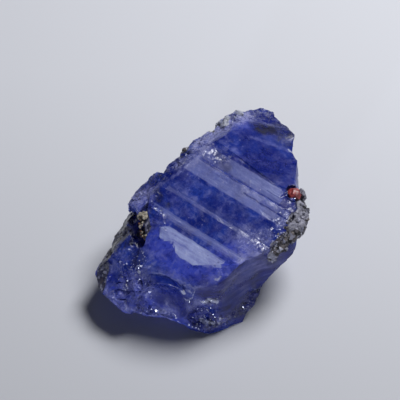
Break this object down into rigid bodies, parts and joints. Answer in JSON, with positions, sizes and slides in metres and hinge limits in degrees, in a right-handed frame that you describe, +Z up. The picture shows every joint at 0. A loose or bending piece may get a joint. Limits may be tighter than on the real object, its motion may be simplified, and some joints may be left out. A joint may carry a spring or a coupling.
{
  "type": "rough tanzanite",
  "caption": "Rough, unpolished tanzanite crystal piece with a striped growth face, broken edges, a red mineral grain and small crusts of host rock, lying on a flat spot.",
  "frame": {"origin": "middle of the object's box, on the plane of its resting face", "axes": "+Z up from the resting face, +X along the length from the lump to the narrow end, +Y towards the back"},
  "size_m": [0.0214, 0.0128, 0.0075],
  "materials": {
    "tanzanite": "half-clear blue-violet crystal, glossy on smooth faces and frosted where it is broken",
    "red_crystal": "glassy red-brown grain",
    "matrix_right": "rough grey-white rock with brown and black specks",
    "matrix_left": "rough cream and brown rock"
  },
  "bodies": {
    "root": {"tanzanite": "tanzanite", "red_crystal": "red_crystal", "matrix_right": "matrix_right", "matrix_left": "matrix_left"}
  },
  "joints": []
}
